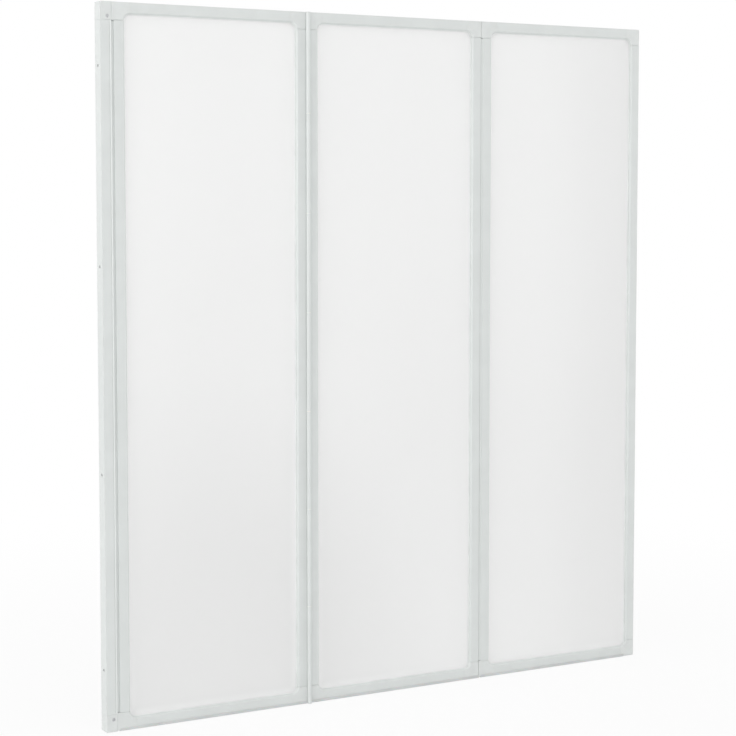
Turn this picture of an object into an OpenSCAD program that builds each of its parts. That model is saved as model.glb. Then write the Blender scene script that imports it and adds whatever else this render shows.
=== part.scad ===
// Folding bath screen: three framed panels that fold in a zigzag from a profile on the wall.
// Millimetres. x runs from the wall along the flat screen, y through its thickness, z upwards.
// x = 0 is the wall, y = 0 the middle plane of the frames, z = 0 the bath rim.
// The side shown to the room faces -y.

/* [Overall size] */
// Height from the bath rim to the top of the frames
screen_h = 1400; // [1000:1:1600]
// Width of each of the three panels
panel_w = 411; // [300:1:500]
// Clear gap between two frames, and between the wall profile and the first frame
joint_gap = 5; // [5:0.1:6]

/* [Frame bars] */
// Width of the stiles and rails on their face
bar_w = 22; // [22:0.5:28]
// Thickness of the frames
frame_t = 18; // [18:0.5:20]
// Wall thickness of the hollow bars
bar_wall = 1.8; // [1.5:0.1:2]
// Width of the slope along the inner edge of the bars
inner_slope = 3; // [2:0.5:3]
// Radius along the outer edges of the bars
edge_r = 1.4; // [0.8:0.1:1.6]
// Height of the frames' lower edge above the bath rim
frame_lift = 1.6; // [1.5:0.1:2]

/* [Corner pieces] */
// Leg length of the corner pieces, measured from the outer corner
corner_leg = 35; // [33:1:40]
// Depth of the shadow line where a corner piece meets a stile
shadow_depth = 0.8; // [0.4:0.1:1]
// Height of that shadow line
shadow_h = 1.3; // [1:0.1:2]
// How far a corner piece's tongue reaches into a bar
tongue_l = 20; // [16:1:24]
// Clearance around tongues and slid-in profiles
slide_fit = 0.15; // [0.1:0.01:0.2]
// Gap that is left beside the lips and flanges that close a joint
lip_gap = 0.3; // [0.2:0.05:0.6]

/* [Infill] */
// Thickness of the plastic sheet
sheet_t = 3; // [2.5:0.1:3.5]
// Width of the groove that holds the sheet and its gasket
groove_w = 6; // [5.8:0.1:6.4]
// Depth of that groove
groove_d = 8; // [7:0.5:8]
// Visible width of the gasket inside the frame
gasket_lip = 2; // [1:0.1:3]

/* [Hinges] */
// Distance of a hinge axis outside the frame face
axis_out = 3.2; // [3.2:0.1:4]
// Radius of the knuckles
knuckle_r = 4.5; // [4.2:0.1:5]
// Number of knuckles on a hinge, an odd number
knuckle_n = 7; // [5:2:11]
// Height of the washers between knuckles
washer_h = 0.9; // [0.8:0.1:1.5]
// Radius of the hinge pins
pin_r = 2.4; // [2:0.1:2.6]
// Radial running clearance on the pins
run_fit = 0.05; // [0.03:0.01:0.08]
// Thickness of the hinge leaves
leaf_t = 1.95; // [1.6:0.05:1.95]
// Depth of the groove in front of the leaves, below the frame face
leaf_sunk = 0.5; // [0.4:0.1:1.5]
// Depth of that groove beside the wall profile
wall_leaf_sunk = 1.8; // [0.4:0.1:2]

/* [Wall profile] */
// Width of the wall profile on its face
wall_w = 22; // [22:0.5:26]
// Depth of the wall profile
wall_d = 28; // [28:0.5:30]
// Width of the outer channel on its face
channel_w = 18.5; // [16:0.5:19]
// How far the adjusting profile's nose stands out from the faces beside it
nose_out = 1.5; // [0.6:0.1:1.6]
// Height of the end pieces on the wall profile
wall_cap_h = 34; // [30:1:40]
// Distance of the upper clamp screw below the top
clamp_top = 27; // [20:1:30]
// Height of the lower clamp screw
clamp_low = 24; // [18:1:28]
// Radius of the holes for the wall screws
wall_hole_r = 2.75; // [2:0.05:3]
// Distance between the two outer wall-screw holes
outer_holes = 1160; // [700:1:1200]
// Distance between the two inner wall-screw holes
inner_holes = 400; // [200:1:600]

/* [Bottom seal] */
// Height of the seal's side walls above the bath rim
seal_h = 5.7; // [5:0.1:8]
// Thickness of the seal's walls
seal_t = 1; // [0.8:0.05:1]
// Width of the solid foot at the screen's free end
end_foot = 28; // [20:1:30]

/* [Hidden] */
// Overlap that takes cutting shapes right through, and the play at the ends of slid-in feet
cut = 1;
// Sides of round shapes
$fn = 48;
// Half the frame thickness, and half the wall profile's depth
half_t = frame_t / 2;
half_d = wall_d / 2;
// Middle of the wall profile, whose face is flush with the frames
wall_y = half_d - half_t;
// Distance of a hinge axis from the middle plane
axis_y = half_t + axis_out;
// Radius kept free around a hinge axis
clear_r = knuckle_r + 0.4;
// Hair of clearance between faces that lie on each other
touch = 0.05;
// Half the gap between the two leaves of a flat hinge
leaf_in = joint_gap / 2 - leaf_t - touch;
// Reach and thickness of the corner pieces' lips
lip_out = joint_gap - lip_gap;
lip_t = 3.5;
// How far a leaf reaches from the axis across the frame's side, short of those lips
leaf_reach = frame_t + axis_out - lip_t - 0.5;
// Thickness of the leaves' flange
flange_t = 1.8;
// Slot for slid-in profiles: half widths and depths of its neck and head
neck_hw = 1.2;
neck_d = 2;
head_hw = 3.2;
head_d = 2.2;
// Overlap that joins a profile's foot to what it belongs to
root = 0.3;
// Wall between the sheet's groove and the small hollows beside it
lip_wall = 1.4;
// Start of the sheet's groove, from the outer edge of a bar
groove_from = bar_w - groove_d;
// The hollow for the tongues, between the slot and the groove
hollow_from = neck_d + head_d + bar_wall;
hollow_to = groove_from - 2;
// Outer edge of the gasket, and of the sheet in it, from the outer edge of a bar
gasket_from = groove_from + slide_fit;
gasket_web = 0.8;
sheet_from = gasket_from + gasket_web + touch;
// Radius of the frames' inner corners
inner_r = corner_leg - bar_w;
// Length of the corner pieces' legs, short of the bars by the clearance
leg = corner_leg - slide_fit;
// Lower and upper edge of the frames, and of the stiles
frame_lo = frame_lift;
frame_hi = screen_h;
stile_lo = frame_lo + corner_leg;
stile_hi = frame_hi - corner_leg;
// Start of the knuckles above the pin caps, and the height of each
pin_cap_h = 2;
washer_gap = washer_h + 2 * touch;
knuckle_h = (screen_h - 2 * pin_cap_h - (knuckle_n - 1) * washer_gap) / knuckle_n;
// Radius of the small corner screws, of their heads, and the cross cut into the heads
screw_r = 1.45;
screw_head_r = 3;
screw_head_h = 1.6;
cross_l = 3.6;
cross_w = 0.8;
cross_d = 1;
// Distance of the corner screws from the frame's edge in both directions
screw_u = (hollow_from + hollow_to) / 2;
screw_w = corner_leg + tongue_l / 2;
// Clamp screws: distance from the wall, shank and head
clamp_x = 14.2;
clamp_r = 1.95;
clamp_head_r = 3.8;
clamp_head_h = 1.8;
clamp_l = 8;
// Thickness of the wall channel, and of the shell and end plate of its end pieces
channel_t = 1.8;
shell_t = 1.85;
end_plate = 2;
// The adjusting profile: its start, half its width, the depth of its open hollow and the nose's rounding
adjust_from = 6;
adjust_hw = half_d - channel_t - 0.3;
adjust_open = 10.4;
nose_r = 0.8;
// The tongue of the end pieces, between the wall channel and the adjusting profile
wall_tongue_hw = 8;
wall_tongue_t = adjust_from - channel_t - 3 * 0.2;
wall_tongue_l = 12;
// Recess under the bottom seal, and the width of the two feet beside it
seal_recess = 0.4;
seal_foot_w = 4.2;

ALU = [0.90, 0.92, 0.91];
CAP = [0.92, 0.93, 0.92];
SHEET = [0.96, 0.97, 0.97, 0.9];
RUBBER = [0.80, 0.81, 0.80];
STEEL = [0.70, 0.71, 0.72];
NYLON = [0.95, 0.95, 0.93];

// Left and right edge of panel i, counted from 0 at the wall
function x_left(i) = wall_w + joint_gap + i * (panel_w + joint_gap);
function x_right(i) = x_left(i) + panel_w;
// Axis of hinge j, which joins panel j to what stands left of it, and the side it is on:
// 1 for the back, -1 for the front
function hinge_x(j) = x_left(j) - joint_gap / 2;
function hinge_side(j) = j == 1 ? -1 : 1;
// Distance of the face of its flange from that axis
function flange_from(j) = frame_t + axis_out - (j == 0 ? wall_leaf_sunk : leaf_sunk);
// Lower end of knuckle k
function knuckle_z(k) = pin_cap_h + k * (knuckle_h + washer_gap);

// ---- Shared shapes ----

// Space kept free around the axis of hinge j
module hinge_space(j) {
  translate([hinge_x(j), hinge_side(j) * axis_y, -cut])
    cylinder(r = clear_r, h = screen_h + 2 * cut);
}

// Outline of a frame bar, u from its outer edge, drawn in by i on every side
module bar_outline(i = 0) {
  t = half_t - i;
  difference() {
    union() {
      translate([i + edge_r, -t]) square([bar_w - 2 * i - edge_r, 2 * t]);
      translate([i, -t + edge_r]) square([bar_w - 2 * i, 2 * t - 2 * edge_r]);
      for (s = [-1, 1]) translate([i + edge_r, s * (t - edge_r)]) circle(edge_r);
    }
    for (s = [-1, 1])
      polygon([[bar_w - i - inner_slope, s * t], [bar_w - i + cut, s * (t + cut)],
        [bar_w - i + cut, s * (t - inner_slope - cut)]]);
  }
}

// Slot in a bar's outer edge for a slid-in profile
module slot_shape() {
  translate([-cut, -neck_hw]) square([neck_d + 2 * cut, 2 * neck_hw]);
  translate([neck_d, -head_hw]) square([head_d, 2 * head_hw]);
}

// Foot that slides into that slot, its neck starting at u = from
module foot_shape(from = -root) {
  translate([from, slide_fit - neck_hw])
    square([neck_d + slide_fit - from + touch, 2 * (neck_hw - slide_fit)]);
  translate([neck_d + slide_fit, slide_fit - head_hw])
    square([head_d - 2 * slide_fit, 2 * (head_hw - slide_fit)]);
}

// Section of a hollow frame bar, with or without the slot in its outer edge
module bar_section(slotted = true) {
  difference() {
    bar_outline();
    translate([hollow_from, bar_wall - half_t])
      square([hollow_to - hollow_from, frame_t - 2 * bar_wall]);
    translate([groove_from, -groove_w / 2]) square([groove_d + cut, groove_w]);
    for (s = [0, 1]) mirror([0, s])
      translate([groove_from, groove_w / 2 + lip_wall])
        square([groove_d - inner_slope, half_t - bar_wall - groove_w / 2 - lip_wall]);
    if (slotted) slot_shape();
  }
}

// Frame bar of length l that stands up, outer edge at x = 0
module upright_bar(l) {
  linear_extrude(l) bar_section();
}

// Stile of panel i, on its left (s = 1) or right (s = -1) side
module stile(i, s) {
  difference() {
    translate([s > 0 ? x_left(i) : x_right(i), 0, stile_lo])
      mirror([s > 0 ? 0 : 1, 0, 0])
        difference() {
          upright_bar(stile_hi - stile_lo);
          for (z = [screw_w - corner_leg, stile_hi - stile_lo - screw_w + corner_leg])
            translate([screw_u, half_t - bar_wall - cut, z])
              rotate([-90, 0, 0]) cylinder(r = screw_r + slide_fit, h = bar_wall + 2 * cut);
        }
    hinge_space(i);
    if (i < 2) hinge_space(i + 1);
  }
}

module top_rail(i) {
  translate([x_left(i) + corner_leg, 0, frame_hi])
    rotate([0, 90, 0]) linear_extrude(panel_w - 2 * corner_leg) bar_section(false);
}

module bottom_rail(i) {
  translate([x_right(i) - corner_leg, 0, frame_lo])
    rotate([0, -90, 0]) linear_extrude(panel_w - 2 * corner_leg) bar_section(true);
}

// Thick square whose outer edges are rounded, from the outer corner to far beyond the legs
module rounded_side() {
  translate([edge_r, -half_t]) square([corner_leg + 2 * cut, frame_t]);
  translate([0, edge_r - half_t]) square([corner_leg, frame_t - 2 * edge_r]);
  for (s = [-1, 1]) translate([edge_r, s * (half_t - edge_r)]) circle(edge_r);
}

// Tongue that fits a bar's hollow, pointing up from inside the corner piece
module tongue() {
  fit = slide_fit;
  sunk = 3;
  translate([hollow_from + fit, bar_wall - half_t + fit, corner_leg - sunk])
    cube([hollow_to - hollow_from - 2 * fit, frame_t - 2 * bar_wall - 2 * fit, tongue_l + sunk]);
}

// Corner piece with its outer corner at the origin, legs along x and z.
// lip is -1 or 1 where a lip at the front or back closes the joint gap, else 0.
module corner_piece(lip) {
  difference() {
    union() {
      difference() {
        intersection() {
          translate([0, half_t + cut, 0])
            rotate([90, 0, 0]) linear_extrude(frame_t + 2 * cut) square([leg, leg]);
          translate([0, 0, -cut]) linear_extrude(corner_leg + 2 * cut) rounded_side();
          translate([corner_leg + cut, 0, 0])
            rotate([0, -90, 0]) linear_extrude(corner_leg + 2 * cut) rounded_side();
        }
        // the inner curve, with the slope along its edges
        translate([corner_leg, 0, corner_leg]) rotate([90, 0, 0]) {
          cylinder(r = inner_r, h = frame_t + 2 * cut, center = true);
          for (s = [0, 1]) mirror([0, 0, s])
            translate([0, 0, half_t - inner_slope])
              cylinder(r1 = inner_r, r2 = inner_r + inner_slope + cut, h = inner_slope + cut);
        }
        // the shadow line next to the stile
        difference() {
          translate([-cut, -frame_t, leg - shadow_h])
            cube([corner_leg + 2 * cut, 2 * frame_t, shadow_h + cut]);
          translate([0, 0, leg - shadow_h - cut])
            linear_extrude(shadow_h + 3 * cut) bar_outline(shadow_depth);
        }
      }
      tongue();
      mirror([1, 0, -1]) tongue();
      if (lip != 0)
        translate([-lip_out, lip > 0 ? half_t - lip_t : -half_t, 0])
          cube([lip_out + edge_r + cut, lip_t, leg]);
    }
    // pocket for the sheet's corner and its gasket
    translate([groove_from, -groove_w / 2, groove_from])
      cube([corner_leg, groove_w, corner_leg]);
    // hole for the corner screw
    translate([screw_u, -cut, screw_w])
      rotate([-90, 0, 0]) cylinder(r = screw_r + touch, h = half_t + 2 * cut);
  }
}

// Corner piece of panel i, sx = 1 left or -1 right, sz = 1 bottom or -1 top
module corner(i, sx, sz, lip) {
  difference() {
    translate([sx > 0 ? x_left(i) : x_right(i), 0, sz > 0 ? frame_lo : frame_hi])
      mirror([sx > 0 ? 0 : 1, 0, 0]) mirror([0, 0, sz > 0 ? 0 : 1]) corner_piece(lip);
    hinge_space(i);
    if (i < 2) hinge_space(i + 1);
  }
}

// Slab inside the frame of panel i, its edge at distance m from the frame's, t thick
module framed_slab(i, m, t) {
  translate([x_left(i) + m, -t / 2, frame_lo + m])
    cube([panel_w - 2 * m, t, frame_hi - frame_lo - 2 * m]);
}

// Plastic sheet of panel i
module infill(i) {
  framed_slab(i, sheet_from, sheet_t);
}

// Gasket round the edge of that sheet, with a lip that shows inside the frame
module gasket(i) {
  v = bar_w + gasket_lip;
  r = inner_r - gasket_lip;
  t = groove_w - 2 * slide_fit;
  w = panel_w - 2 * v;
  h = frame_hi - frame_lo - 2 * v;
  difference() {
    framed_slab(i, gasket_from, t);
    framed_slab(i, sheet_from - touch, sheet_t + 2 * touch);
    translate([x_left(i) + v, 0, frame_lo + v]) rotate([90, 0, 0])
      linear_extrude(2 * t, center = true) {
        translate([r, 0]) square([w - 2 * r, h]);
        translate([0, r]) square([w, h - 2 * r]);
        for (x = [r, w - r]) for (z = [r, h - r]) translate([x, z]) circle(r);
      }
  }
}

// Section of the bottom seal, drawn with u upwards from the bath rim
module seal_section() {
  inside = half_t + touch;
  w = inside + seal_t;
  difference() {
    translate([0, -w]) square([seal_h, 2 * w]);
    translate([frame_lo - touch, -inside]) square([seal_h, 2 * inside]);
    translate([-cut, seal_foot_w - w]) square([cut + seal_recess, 2 * (w - seal_foot_w)]);
  }
}

// Bottom seal of panel i, from x_a to x_b
module seal(i, x_a, x_b) {
  foot_l = panel_w - 2 * corner_leg - 2 * cut;
  difference() {
    union() {
      translate([x_b, 0, 0]) rotate([0, -90, 0]) linear_extrude(x_b - x_a) seal_section();
      translate([x_right(i) - corner_leg - cut, 0, frame_lo])
        rotate([0, -90, 0]) linear_extrude(foot_l) foot_shape();
    }
    hinge_space(i);
    if (i < 2) hinge_space(i + 1);
  }
}

// Cross for a screwdriver, cut down from z = 0
module cross() {
  for (a = [0, 90]) rotate(a)
    translate([-cross_l / 2, -cross_w / 2, -cross_d]) cube([cross_l, cross_w, cross_d + cut]);
}

// Corner screws of panel i, one through each end of each stile
module corner_screws(i) {
  for (x = [x_left(i) + screw_u, x_right(i) - screw_u])
    for (z = [frame_lo + screw_w, frame_hi - screw_w])
      translate([x, 0, z]) rotate([-90, 0, 0]) {
        difference() {
          translate([0, 0, half_t]) cylinder(r = screw_head_r, h = screw_head_h);
          translate([0, 0, half_t + screw_head_h]) cross();
        }
        cylinder(r = screw_r, h = half_t + touch);
      }
}

// Leaf of hinge j on its right (s = 1) or left (s = -1) side, with every second knuckle.
// The right one has a flange that closes the joint between the corner pieces.
module hinge_leaf(j, s) {
  translate([hinge_x(j), hinge_side(j) * axis_y, 0])
    mirror([s > 0 ? 0 : 1, 0, 0]) mirror([0, hinge_side(j) > 0 ? 1 : 0, 0])
      difference() {
        union() {
          translate([0, 0, pin_cap_h]) linear_extrude(screen_h - 2 * pin_cap_h)
            difference() {
              translate([leaf_in, 0]) square([leaf_t, leaf_reach]);
              circle(clear_r);
            }
          if (s > 0) translate([0, 0, stile_lo + cut]) linear_extrude(stile_hi - stile_lo - 2 * cut) {
            translate([leaf_in, leaf_reach - root]) square([leaf_t, flange_from(j) - leaf_reach + root]);
            translate([joint_gap / 2 - lip_out, flange_from(j) - flange_t])
              square([lip_out - touch, flange_t]);
          }
          for (k = [(s > 0 ? 1 : 0) : 2 : knuckle_n - 1]) translate([0, 0, knuckle_z(k)]) {
            cylinder(r = knuckle_r, h = knuckle_h);
            translate([leaf_in, 0, 0]) cube([leaf_t, clear_r + root, knuckle_h]);
          }
          translate([joint_gap / 2, axis_y, stile_lo + cut])
            linear_extrude(stile_hi - stile_lo - 2 * cut) foot_shape();
        }
        translate([0, 0, -cut]) cylinder(r = pin_r + run_fit, h = screen_h + 2 * cut);
      }
}

module hinge_pin(j) {
  translate([hinge_x(j), hinge_side(j) * axis_y, pin_cap_h / 2])
    cylinder(r = pin_r, h = screen_h - pin_cap_h);
}

module hinge_washers(j) {
  for (k = [1 : knuckle_n - 1])
    translate([hinge_x(j), hinge_side(j) * axis_y, knuckle_z(k) - washer_h - touch])
      difference() {
        cylinder(r = knuckle_r - touch, h = washer_h);
        translate([0, 0, -cut]) cylinder(r = pin_r + run_fit, h = washer_h + 2 * cut);
      }
}

module hinge_pin_caps(j) {
  for (m = [0, 1])
    translate([hinge_x(j), hinge_side(j) * axis_y, m * screen_h]) mirror([0, 0, m])
      difference() {
        cylinder(r = knuckle_r, h = pin_cap_h - touch);
        translate([0, 0, pin_cap_h / 2 - touch]) cylinder(r = pin_r + run_fit, h = pin_cap_h);
      }
}

// End piece of the wall profile, standing on z = 0
module wall_cap(screw_z) {
  inner_hd = half_d - shell_t;
  difference() {
    translate([0, wall_y, 0]) {
      difference() {
        translate([0, -half_d, 0]) cube([wall_w, wall_d, wall_cap_h]);
        translate([channel_t, -inner_hd, end_plate]) cube([wall_w, 2 * inner_hd, wall_cap_h]);
      }
      translate([channel_t + 0.2, -wall_tongue_hw, end_plate / 2])
        cube([wall_tongue_t, 2 * wall_tongue_hw, wall_cap_h + wall_tongue_l - end_plate / 2]);
      translate([channel_t / 2, -wall_tongue_hw, end_plate / 2])
        cube([wall_tongue_t, 2 * wall_tongue_hw, wall_cap_h - end_plate / 2]);
    }
    translate([clamp_x, -half_t, screw_z]) rotate([-90, 0, 0]) {
      translate([0, 0, -cut]) cylinder(r = clamp_r + slide_fit, h = shell_t + 2 * cut);
      cylinder(r1 = clamp_head_r + slide_fit, r2 = clamp_r + slide_fit, h = clamp_head_h);
    }
    hinge_space(0);
  }
}

// ---- Wall fixing ----

module wall_channel() {
  color(ALU) translate([0, wall_y, 0])
    difference() {
      translate([0, -half_d, wall_cap_h + slide_fit])
        cube([channel_w, wall_d, screen_h - 2 * wall_cap_h - 2 * slide_fit]);
      translate([channel_t, channel_t - half_d, 0])
        cube([channel_w, wall_d - 2 * channel_t, screen_h]);
      for (d = [outer_holes, inner_holes]) for (s = [-1, 1])
        translate([-cut, 0, screen_h / 2 + s * d / 2])
          rotate([0, 90, 0]) cylinder(r = wall_hole_r, h = channel_t + 2 * cut);
    }
}

// Section of the adjusting profile, open towards the wall; its back corner stays clear of the hinge
module adjusting_section() {
  hw = adjust_hw;
  difference() {
    translate([adjust_from, wall_y - hw]) square([wall_w - adjust_from, 2 * hw]);
    translate([adjust_from - cut, wall_y + bar_wall - hw])
      square([adjust_open + cut, 2 * (hw - bar_wall)]);
    translate([wall_w, 0]) mirror([1, 0]) slot_shape();
    translate([adjust_from + adjust_open + lip_wall, head_hw + lip_wall])
      square([wall_w - adjust_from - adjust_open - 2 * lip_wall, axis_y - clear_r - head_hw - lip_wall]);
    translate([hinge_x(0) - clear_r, axis_y]) square(half_d * 2);
  }
}

// Section of its nose, which slopes up to a rounded edge beside the channel
module nose_section() {
  x = channel_w + 0.3;
  y = half_t + nose_out;
  polygon([[x, wall_y - adjust_hw + root], [x, -half_t], [wall_w - nose_r, -y],
    [wall_w - nose_r, nose_r - y], [wall_w, nose_r - y], [wall_w, wall_y - adjust_hw + root]]);
  translate([wall_w - nose_r, nose_r - y]) circle(nose_r);
}

module adjusting_profile() {
  z_from = end_plate + 2 * slide_fit;
  z_nose = wall_cap_h + slide_fit;
  color(ALU)
    difference() {
      union() {
        translate([0, 0, z_from]) linear_extrude(screen_h - 2 * z_from) adjusting_section();
        translate([0, 0, z_nose]) linear_extrude(screen_h - 2 * z_nose) nose_section();
      }
      for (z = [clamp_low, screen_h - clamp_top])
        translate([clamp_x, wall_y - adjust_hw - cut, z])
          rotate([-90, 0, 0]) cylinder(r = clamp_r + touch, h = bar_wall + 2 * cut);
      hinge_space(0);
    }
}

module wall_cap_bottom() {
  color(CAP) wall_cap(clamp_low);
}

module wall_cap_top() {
  color(CAP) translate([0, 0, screen_h]) mirror([0, 0, 1]) wall_cap(clamp_top);
}

module clamp_screws() {
  color(STEEL)
    for (z = [clamp_low, screen_h - clamp_top])
      translate([clamp_x, -half_t, z]) rotate([-90, 0, 0])
        difference() {
          union() {
            cylinder(r1 = clamp_head_r, r2 = clamp_r, h = clamp_head_h);
            cylinder(r = clamp_r, h = clamp_l);
          }
          mirror([0, 0, 1]) cross();
        }
}

// ---- Hinge A, between the wall fixing and panel 1 ----

module hinge_a_fixed_leaf() {
  color(ALU) hinge_leaf(0, -1);
}

module hinge_a_moving_leaf() {
  color(ALU) hinge_leaf(0, 1);
}

module hinge_a_pin() {
  color(STEEL) hinge_pin(0);
}

module hinge_a_washers() {
  color(NYLON) hinge_washers(0);
}

module hinge_a_pin_caps() {
  color(CAP) hinge_pin_caps(0);
}

// ---- Hinge B, between panels 1 and 2 ----

module hinge_b_fixed_leaf() {
  color(ALU) hinge_leaf(1, -1);
}

module hinge_b_moving_leaf() {
  color(ALU) hinge_leaf(1, 1);
}

module hinge_b_pin() {
  color(STEEL) hinge_pin(1);
}

module hinge_b_washers() {
  color(NYLON) hinge_washers(1);
}

module hinge_b_pin_caps() {
  color(CAP) hinge_pin_caps(1);
}

// ---- Hinge C, between panels 2 and 3 ----

module hinge_c_fixed_leaf() {
  color(ALU) hinge_leaf(2, -1);
}

module hinge_c_moving_leaf() {
  color(ALU) hinge_leaf(2, 1);
}

module hinge_c_pin() {
  color(STEEL) hinge_pin(2);
}

module hinge_c_washers() {
  color(NYLON) hinge_washers(2);
}

module hinge_c_pin_caps() {
  color(CAP) hinge_pin_caps(2);
}

// ---- Panel 1, next to the wall ----

module panel_1_left_stile() {
  color(ALU) stile(0, 1);
}

module panel_1_right_stile() {
  color(ALU) stile(0, -1);
}

module panel_1_top_rail() {
  color(ALU) top_rail(0);
}

module panel_1_bottom_rail() {
  color(ALU) bottom_rail(0);
}

module panel_1_corner_top_left() {
  color(CAP) corner(0, 1, -1, -1);
}

module panel_1_corner_top_right() {
  color(CAP) corner(0, -1, -1, 0);
}

module panel_1_corner_bottom_left() {
  color(CAP) corner(0, 1, 1, -1);
}

module panel_1_corner_bottom_right() {
  color(CAP) corner(0, -1, 1, 0);
}

module panel_1_infill() {
  color(SHEET) infill(0);
}

module panel_1_gasket() {
  color(RUBBER) gasket(0);
}

module panel_1_seal() {
  color(RUBBER) seal(0, x_left(0), x_right(0));
}

module panel_1_screws() {
  color(STEEL) corner_screws(0);
}

// ---- Panel 2, in the middle ----

module panel_2_left_stile() {
  color(ALU) stile(1, 1);
}

module panel_2_right_stile() {
  color(ALU) stile(1, -1);
}

module panel_2_top_rail() {
  color(ALU) top_rail(1);
}

module panel_2_bottom_rail() {
  color(ALU) bottom_rail(1);
}

module panel_2_corner_top_left() {
  color(CAP) corner(1, 1, -1, 1);
}

module panel_2_corner_top_right() {
  color(CAP) corner(1, -1, -1, 0);
}

module panel_2_corner_bottom_left() {
  color(CAP) corner(1, 1, 1, 1);
}

module panel_2_corner_bottom_right() {
  color(CAP) corner(1, -1, 1, 0);
}

module panel_2_infill() {
  color(SHEET) infill(1);
}

module panel_2_gasket() {
  color(RUBBER) gasket(1);
}

module panel_2_seal() {
  color(RUBBER) seal(1, x_left(1), x_right(1));
}

module panel_2_screws() {
  color(STEEL) corner_screws(1);
}

// ---- Panel 3, at the free end ----

module panel_3_left_stile() {
  color(ALU) stile(2, 1);
}

module panel_3_right_stile() {
  color(ALU) stile(2, -1);
}

module panel_3_top_rail() {
  color(ALU) top_rail(2);
}

module panel_3_bottom_rail() {
  color(ALU) bottom_rail(2);
}

module panel_3_corner_top_left() {
  color(CAP) corner(2, 1, -1, -1);
}

module panel_3_corner_top_right() {
  color(CAP) corner(2, -1, -1, 0);
}

module panel_3_corner_bottom_left() {
  color(CAP) corner(2, 1, 1, -1);
}

module panel_3_corner_bottom_right() {
  color(CAP) {
    corner(2, -1, 1, 0);
    translate([x_right(2) - end_foot, edge_r - half_t, 0])
      cube([end_foot, frame_t - 2 * edge_r, frame_lo + edge_r + cut]);
  }
}

module panel_3_infill() {
  color(SHEET) infill(2);
}

module panel_3_gasket() {
  color(RUBBER) gasket(2);
}

module panel_3_seal() {
  color(RUBBER) seal(2, x_left(2), x_right(2) - end_foot - slide_fit);
}

module panel_3_screws() {
  color(STEEL) corner_screws(2);
}

module panel_3_edge_strip() {
  color(RUBBER)
    translate([x_right(2), 0, stile_lo + cut]) mirror([1, 0, 0])
      linear_extrude(stile_hi - stile_lo - 2 * cut) foot_shape(0);
}

wall_channel();
adjusting_profile();
wall_cap_top();
wall_cap_bottom();
clamp_screws();
hinge_a_fixed_leaf();
hinge_a_moving_leaf();
hinge_a_pin();
hinge_a_washers();
hinge_a_pin_caps();
hinge_b_fixed_leaf();
hinge_b_moving_leaf();
hinge_b_pin();
hinge_b_washers();
hinge_b_pin_caps();
hinge_c_fixed_leaf();
hinge_c_moving_leaf();
hinge_c_pin();
hinge_c_washers();
hinge_c_pin_caps();
panel_1_left_stile();
panel_1_right_stile();
panel_1_top_rail();
panel_1_bottom_rail();
panel_1_corner_top_left();
panel_1_corner_top_right();
panel_1_corner_bottom_left();
panel_1_corner_bottom_right();
panel_1_infill();
panel_1_gasket();
panel_1_seal();
panel_1_screws();
panel_2_left_stile();
panel_2_right_stile();
panel_2_top_rail();
panel_2_bottom_rail();
panel_2_corner_top_left();
panel_2_corner_top_right();
panel_2_corner_bottom_left();
panel_2_corner_bottom_right();
panel_2_infill();
panel_2_gasket();
panel_2_seal();
panel_2_screws();
panel_3_left_stile();
panel_3_right_stile();
panel_3_top_rail();
panel_3_bottom_rail();
panel_3_corner_top_left();
panel_3_corner_top_right();
panel_3_corner_bottom_left();
panel_3_corner_bottom_right();
panel_3_infill();
panel_3_gasket();
panel_3_seal();
panel_3_screws();
panel_3_edge_strip();
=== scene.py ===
# %% [markdown]
# # A folding bath screen
# Three white framed panels with milky sheets hang on a profile at the wall and fold in a zigzag. The solids
# come packed from the CAD model: bars, hinge leaves, pins and the wall profile stay as they are and get their
# finish here. The sheets, gaskets, corner pieces, seals and screws are made again below as smooth surfaces,
# each a formula worked out with numpy. Everything is in metres in the CAD frame: x from the wall along the
# flat screen, z up, the side shown to the room faces -y.

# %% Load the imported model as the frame
import bpy
import numpy as np
from math import radians
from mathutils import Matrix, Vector


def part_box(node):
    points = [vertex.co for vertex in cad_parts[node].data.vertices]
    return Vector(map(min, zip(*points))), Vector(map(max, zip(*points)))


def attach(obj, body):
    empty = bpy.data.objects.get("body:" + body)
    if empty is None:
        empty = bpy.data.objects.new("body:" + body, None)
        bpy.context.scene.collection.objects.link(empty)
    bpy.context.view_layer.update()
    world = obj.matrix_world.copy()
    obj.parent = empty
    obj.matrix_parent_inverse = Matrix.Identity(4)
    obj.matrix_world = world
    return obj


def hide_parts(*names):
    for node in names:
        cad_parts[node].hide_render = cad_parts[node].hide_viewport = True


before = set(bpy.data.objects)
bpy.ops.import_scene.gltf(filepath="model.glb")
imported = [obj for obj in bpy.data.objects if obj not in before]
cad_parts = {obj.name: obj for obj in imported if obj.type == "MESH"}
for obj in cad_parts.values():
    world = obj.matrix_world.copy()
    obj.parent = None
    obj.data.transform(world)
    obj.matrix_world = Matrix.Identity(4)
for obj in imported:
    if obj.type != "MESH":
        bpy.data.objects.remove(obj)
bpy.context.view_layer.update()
MM = 0.001

# %% [markdown]
# ## The camera
# The flat screen is seen from its left, from a little above its middle. Place, turn and lens come from a
# camera fitted to the frames' upright edges and to the two lines that run to the vanishing point. A small
# tilt and a small shift keep the uprights almost upright, and the object in the frame when the camera goes
# round it.

# %% Camera
CAMERA_PLACE = (-1.3551, -3.3972, 1.0342)
CAMERA_YAW = 29.73
CAMERA_PITCH = 4.06
CAMERA_LENS = 93.20
CAMERA_SHIFT = -0.05
SENSOR_WIDTH = 36


def new_object(name, data):
    """Object with this data, put in the scene."""
    made = bpy.data.objects.new(name, data)
    bpy.context.scene.collection.objects.link(made)
    return made


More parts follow.
